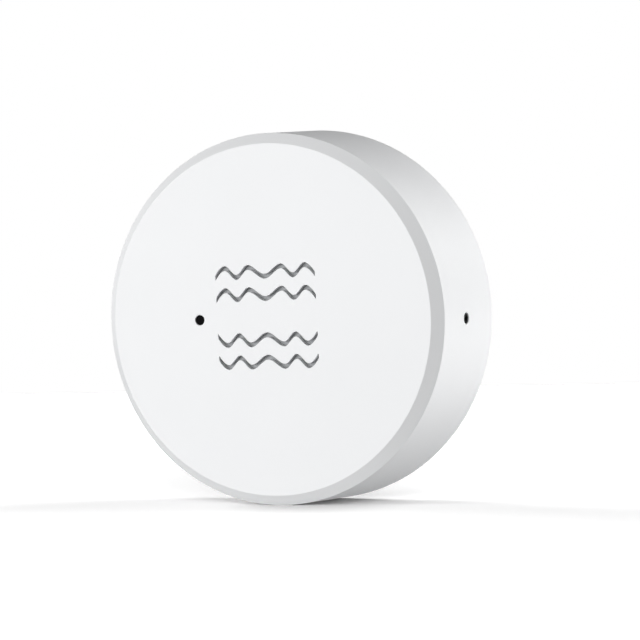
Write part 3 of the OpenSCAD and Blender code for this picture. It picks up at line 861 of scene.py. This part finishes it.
# ------------------------------------------------------------------ pieces built in code
def piece(name, bm, slot_name, body, stands_for=(), auto=35):
    """Turns a bmesh drawn in local millimetres into a piece that rides on a body."""
    for v in bm.verts:
        v.co = row(v.co)
    bmesh.ops.recalc_face_normals(bm, faces=bm.faces)
    me = bpy.data.meshes.new(name)
    bm.to_mesh(me)
    bm.free()
    for p in me.polygons:
        p.use_smooth = True
    me.set_sharp_from_angle(angle=math.radians(auto))
    me.materials.append(MAT[slot_name])
    o = bpy.data.objects.new(name, me)
    scene.collection.objects.link(o)
    if body:
        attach(o, body)
    if stands_for:
        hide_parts(*stands_for)
    return o


def add_wire(bm, path, radius, sides=12):
    """A round wire along a smooth path, with domed ends."""
    path = [Vector(p) for p in path]
    k = len(path)
    t0 = (path[1] - path[0]).normalized()
    ref = Vector((0, 0, 1)) if abs(t0.z) < 0.9 else Vector((1, 0, 0))
    u = t0.cross(ref).normalized()
    rings, prev_t = [], t0
    for i, p in enumerate(path):
        t = (path[min(i + 1, k - 1)] - path[max(i - 1, 0)]).normalized()
        q = prev_t.rotation_difference(t)
        u = (q @ u).normalized()
        prev_t = t
        w = t.cross(u).normalized()
        rings.append([bm.verts.new(p + (u * math.cos(2 * math.pi * j / sides) + w * math.sin(2 * math.pi * j / sides)) * radius) for j in range(sides)])
    for a, b in zip(rings, rings[1:]):
        for j in range(sides):
            bm.faces.new([a[j], a[(j + 1) % sides], b[(j + 1) % sides], b[j]])
    for ring, p, s in ((rings[0], path[0], -1), (rings[-1], path[-1], 1)):
        t = (path[1] - path[0]).normalized() if s < 0 else (path[-1] - path[-2]).normalized()
        small = [bm.verts.new(p + (v.co - p) * 0.6 + t * s * radius * 0.35) for v in ring]
        for j in range(sides):
            bm.faces.new([ring[j], small[j], small[(j + 1) % sides], ring[(j + 1) % sides]])
        bm.faces.new(small)


def add_box(bm, lo, hi, r=0.1, seg=2):
    """A box with rounded edges, drawn in local millimetres."""
    g = bmesh.ops.create_cube(bm, size=1.0)
    vs = g["verts"]
    for v in vs:
        v.co = Vector([lo[i] + (v.co[i] + 0.5) * (hi[i] - lo[i]) for i in range(3)])
    es = list({e for v in vs for e in v.link_edges})
    bmesh.ops.bevel(bm, geom=es, offset=r, segments=seg, profile=0.6, affect="EDGES")


def add_turned(bm, prof, centre=(0, 0), n=96, axis="z", wobble=0.0):
    """A turned form from (r, height) points; r = 0 closes an end."""
    rings = []
    for r, h in prof:
        if r <= 1e-6:
            p = (centre[0], centre[1], h) if axis == "z" else (centre[0], h, centre[1])
            rings.append([bm.verts.new(p)])
            continue
        ring = []
        for k in range(n):
            a = 2 * math.pi * k / n
            rr = r + wobble * math.sin(7 * a) * math.sin(13 * a + 1)
            c, s = rr * math.cos(a), rr * math.sin(a)
            ring.append(bm.verts.new((centre[0] + c, centre[1] + s, h) if axis == "z" else (centre[0] + c, h, centre[1] + s)))
        rings.append(ring)
    for a, b in zip(rings, rings[1:]):
        if len(a) == 1:
            for j in range(n):
                bm.faces.new([a[0], b[j], b[(j + 1) % n]])
        elif len(b) == 1:
            for j in range(n):
                bm.faces.new([a[j], b[0], a[(j + 1) % n]])
        else:
            for j in range(n):
                bm.faces.new([a[j], a[(j + 1) % n], b[(j + 1) % n], b[j]])
    return rings


# tamper spring: closed end turns, stretched between the switch and the pin's collar
bm = bmesh.new()
pts = []
K = 220
for i in range(K + 1):
    t = i / K
    turn = 5.0 * t
    h = 0.5 * (1 - math.cos(math.pi * t)) * 0.35 + t * 0.65
    pts.append((-19 + 2.1 * math.cos(2 * math.pi * turn), 2.1 * math.sin(2 * math.pi * turn), 8.24 + 2.8 * h))
add_wire(bm, pts, 0.18, 12)
tamper_coil = piece("tamper_coil", bm, "spring_steel", None, ("tamper_spring",), 60)
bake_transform(tamper_coil)


def contact_coil(bm, x, side):
    """Conical coil that bears on a cell's flat end."""
    pts = []
    k = 200
    for i in range(k + 1):
        t = i / k
        r = 3.3 - 1.5 * t
        a = 2 * math.pi * 3.5 * t
        pts.append((x + r * math.cos(a), side * (24.12 - 0.3 - 2.3 * t ** 1.15), 8.6 + r * math.sin(a)))
    add_wire(bm, pts, 0.3, 12)


def contact_strip(bm, x, side, dimple):
    y0, y1 = sorted((side * 24.4, side * 24.0))
    add_box(bm, (x - 4, y0, 4.2), (x + 4, y1, 12.8), 0.12)
    add_box(bm, (x - 1, y0, 12.5), (x + 1, y1, BOARD_FRONT + 0.5), 0.1)
    # folded guide lips on both sides of the strip
    for s in (-1, 1):
        xa, xb = sorted((x + s * 3.75, x + s * 4.0))
        ya, yb = sorted((side * 24.05, side * 23.7))
        add_box(bm, (xa, ya, 5.2), (xb, yb, 11.8), 0.08)
    if dimple:
        prof = [(0, side * 23.55), (1.0, side * 23.55), (1.45, side * 23.62), (1.75, side * 23.78), (1.95, side * 24.02), (1.95, side * 24.1), (0, side * 24.1)]
        add_turned(bm, prof, (x, 8.6), 40, "y")


bm = bmesh.new()
contact_strip(bm, 5.5, 1, False)
contact_coil(bm, 5.5, 1)
piece("contact_negative", bm, "contact_nickel", "sensor", ("negative_contact",))
bm = bmesh.new()
contact_strip(bm, -5.5, 1, True)
piece("contact_positive", bm, "contact_nickel", "sensor", ("positive_contact",))
bm = bmesh.new()
contact_strip(bm, -5.5, -1, False)
contact_strip(bm, 5.5, -1, True)
contact_coil(bm, -5.5, -1)
add_box(bm, (-1.8, -24.4, 4.2), (1.8, -24.0, 6.6), 0.1)
piece("contact_bridge", bm, "contact_nickel", "sensor", ("bridge_contact",))

# foam pad: soft rounded sides, faintly uneven from die cutting
bm = bmesh.new()
add_turned(bm, [(0, 0.0), (15.2, 0.0), (15.8, 0.02), (15.94, 0.12), (15.98, 0.3), (15.9, 0.45), (15.97, 0.6), (15.92, 0.74), (15.6, 0.8), (0, 0.8)], n=160, wobble=0.012)
piece("foam_pad", bm, "pad_foam", "wall_mount", ("adhesive_pad",), 50)

# acoustic gasket: a soft ring that bulges where it is squeezed
bm = bmesh.new()
zs = BOARD_FRONT + 2.32
h = 1.38
prof = [(6.45, zs), (6.38, zs + h * 0.25), (6.36, zs + h * 0.5), (6.38, zs + h * 0.75), (6.45, zs + h), (8.5, zs + h), (8.57, zs + h * 0.75), (8.59, zs + h * 0.5), (8.57, zs + h * 0.25), (8.5, zs)]
rings = add_turned(bm, prof, (0, RISE), 96)
for j in range(96):
    bm.faces.new([rings[-1][j], rings[-1][(j + 1) % 96], rings[0][(j + 1) % 96], rings[0][j]])
piece("gasket_ring", bm, "foam_dark", "sensor", ("sounder_seal",), 60)

# woven cloth behind the slots: crossed threads in relief, with a real edge
bm = bmesh.new()
NX, NY = 132, 116
x0, y0, w, hgt = -9.9, RISE - 8.7, 19.8, 17.4
top, low = [], []
for j in range(NY + 1):
    ra, rb = [], []
    for i in range(NX + 1):
        x, y = x0 + w * i / NX, y0 + hgt * j / NY
        weave = 0.035 * math.cos(math.pi * i) * math.cos(math.pi * j * 0.5 + (i % 2) * math.pi)
        ra.append(bm.verts.new((x, y, MESH_Z - 0.10 + weave)))
        rb.append(bm.verts.new((x, y, MESH_Z - 0.21 + weave)))
    top.append(ra)
    low.append(rb)
for j in range(NY):
    for i in range(NX):
        bm.faces.new([top[j][i], top[j][i + 1], top[j + 1][i + 1], top[j + 1][i]])
        bm.faces.new([low[j][i], low[j + 1][i], low[j + 1][i + 1], low[j][i + 1]])
for j in range(NY):
    bm.faces.new([top[j][0], top[j + 1][0], low[j + 1][0], low[j][0]])
    bm.faces.new([top[j][NX], low[j][NX], low[j + 1][NX], top[j + 1][NX]])
for i in range(NX):
    bm.faces.new([top[0][i], low[0][i], low[0][i + 1], top[0][i + 1]])
    bm.faces.new([top[NY][i], top[NY][i + 1], low[NY][i + 1], low[NY][i]])
piece("woven_cloth", bm, "mesh_cloth", "sensor", ("vent_mesh",), 60)

# ------------------------------------------------------------------ camera
cam_data = bpy.data.cameras.new("camera")
cam = bpy.data.objects.new("camera", cam_data)
scene.collection.objects.link(cam)
scene.camera = cam
cam_data.sensor_width = 36
cam_data.lens = 1817.9 / 640 * 36
cam_data.clip_start, cam_data.clip_end = 0.01, 50
back = Vector((0.42486333, -0.90483751, 0.02757212))
right = Vector((0.90469139, 0.42332367, -0.04827581))
up = Vector((0.03200983, 0.04545489, 0.99845342))
place = Vector((131.63106686, -260.17970986 - FACE, 7.64855125)) * MM
cam.matrix_world = Matrix((
    (right.x, up.x, back.x, place.x),
    (right.y, up.y, back.y, place.y),
    (right.z, up.z, back.z, place.z),
    (0, 0, 0, 1),
))

# ------------------------------------------------------------------ floor
tilt = math.atan((R_REAR - R_FRONT) / (FACE - CH_D - RIM - 0.35))
fm, nt, b, vec = new_mat("pale_floor")
n = noise(nt, vec, 30, 2)
nt.links.new(mix(nt, n, (0.178, 0.178, 0.178), (0.182, 0.182, 0.182)), b.inputs["Base Color"])
b.inputs["Roughness"].default_value = 1.0
b.inputs["Specular IOR Level"].default_value = 0.0
# seen from below the floor is clear, so the object's underside can be looked at
under = nt.nodes.new("ShaderNodeNewGeometry")
clear = nt.nodes.new("ShaderNodeBsdfTransparent")
pick = nt.nodes.new("ShaderNodeMixShader")
nt.links.new(under.outputs["Backfacing"], pick.inputs[0])
nt.links.new(b.outputs["BSDF"], pick.inputs[1])
nt.links.new(clear.outputs["BSDF"], pick.inputs[2])
nt.links.new(pick.outputs[0], [x for x in nt.nodes if x.type == "OUTPUT_MATERIAL"][0].inputs["Surface"])
fme = bpy.data.meshes.new("floor")
S = 6.0
c0 = Vector((0, -(RIM + 0.35) * MM, -R_REAR * MM - 0.00002))
ay = Vector((0, math.cos(tilt), -math.sin(tilt)))
ax = Vector((1, 0, 0))
fme.from_pydata([c0 + ax * (sx * S) + ay * (sy * S) for sx, sy in ((-1, -1), (1, -1), (1, 1), (-1, 1))], [], [(0, 1, 2, 3)])
floor = bpy.data.objects.new("floor", fme)
fme.materials.append(fm)
scene.collection.objects.link(floor)
floor.visible_diffuse = False
floor.visible_glossy = False
floor.visible_shadow = False

# ------------------------------------------------------------------ light
world = bpy.data.worlds.new("studio")
scene.world = world
world.use_nodes = True
wn = world.node_tree
wn.nodes.clear()
wo = wn.nodes.new("ShaderNodeOutputWorld")
amb = wn.nodes.new("ShaderNodeBackground")
amb.inputs["Color"].default_value = (1, 1, 1, 1)
amb.inputs["Strength"].default_value = 0.01
seen = wn.nodes.new("ShaderNodeBackground")
seen.inputs["Color"].default_value = (1, 1, 1, 1)
seen.inputs["Strength"].default_value = 1.0
lp = wn.nodes.new("ShaderNodeLightPath")
ms = wn.nodes.new("ShaderNodeMixShader")
wn.links.new(lp.outputs["Is Camera Ray"], ms.inputs[0])
wn.links.new(amb.outputs[0], ms.inputs[1])
wn.links.new(seen.outputs[0], ms.inputs[2])
wn.links.new(ms.outputs[0], wo.inputs["Surface"])

centre = Vector((0, -0.01, 0))
all_but_floor = bpy.data.collections.new("all_but_floor")
all_but_floor.objects.link(floor)
all_but_floor.collection_objects[0].light_linking.link_state = "EXCLUDE"


def softbox(name, direction, level, size, dist=0.9, colour=(1, 1, 1)):
    d = Vector(direction).normalized()
    li = bpy.data.lights.new(name, "AREA")
    li.shape = "RECTANGLE"
    li.size, li.size_y = size
    li.color = colour
    li.energy = level * math.pi ** 2 * dist ** 2
    o = bpy.data.objects.new(name, li)
    scene.collection.objects.link(o)
    o.location = centre + d * dist
    o.rotation_mode = "QUATERNION"
    o.rotation_quaternion = d.to_track_quat("Z", "Y")
    o.light_linking.receiver_collection = all_but_floor
    return o


BOX = (0.5, 0.5)
softbox("front_box", (-0.12, -0.99, 0.06), 0.459, BOX)
softbox("front_left_box", (-0.55, -0.83, 0.05), 0.46, BOX)
softbox("front_top_box", (-0.05, -0.85, 0.52), 0.154, BOX)
softbox("side_box", (0.72, 0.70, 0.11), 0.205, BOX)
softbox("side_high_box", (0.60, 0.60, 0.5), 0.446, BOX)
softbox("side_low_box", (0.66, 0.66, -0.33), 0.47, BOX)
softbox("right_box", (0.97, 0.22, 0.12), 0.278, BOX)
softbox("low_box", (0.1, -0.2, -0.97), 0.253, BOX)
softbox("top_box", (0.0, 0.15, 0.98), 0.058, BOX)
softbox("left_rear_box", (-0.72, 0.66, 0.2), 0.35, BOX)

# wide, low lamps that only the floor receives: the object's contact shadow, and an even white floor
only = bpy.data.collections.new("floor_only")
only.objects.link(floor)
FLOOR_LAMPS = (
    (40, 44, 0.47),
    (160, 10, 1.65),
    (220, 10, 1.20),
    (300, 10, 2.60),
)
for k, (az, el, level) in enumerate(FLOOR_LAMPS):
    lamp = bpy.data.lights.new("floor_lamp_%d" % k, "SUN")
    lamp.energy = math.pi * level / 0.18
    lamp.angle = math.radians(40)
    lamp_o = bpy.data.objects.new("floor_lamp_%d" % k, lamp)
    scene.collection.objects.link(lamp_o)
    lamp_o.rotation_mode = "QUATERNION"
    a, e = math.radians(az), math.radians(el)
    lamp_o.rotation_quaternion = Vector((math.cos(e) * math.cos(a), math.cos(e) * math.sin(a), math.sin(e))).to_track_quat("Z", "Y")
    lamp_o.light_linking.receiver_collection = only

scene.view_settings.view_transform = "Standard"
scene.view_settings.look = "None"
scene.view_settings.exposure = 0
scene.view_settings.gamma = 1
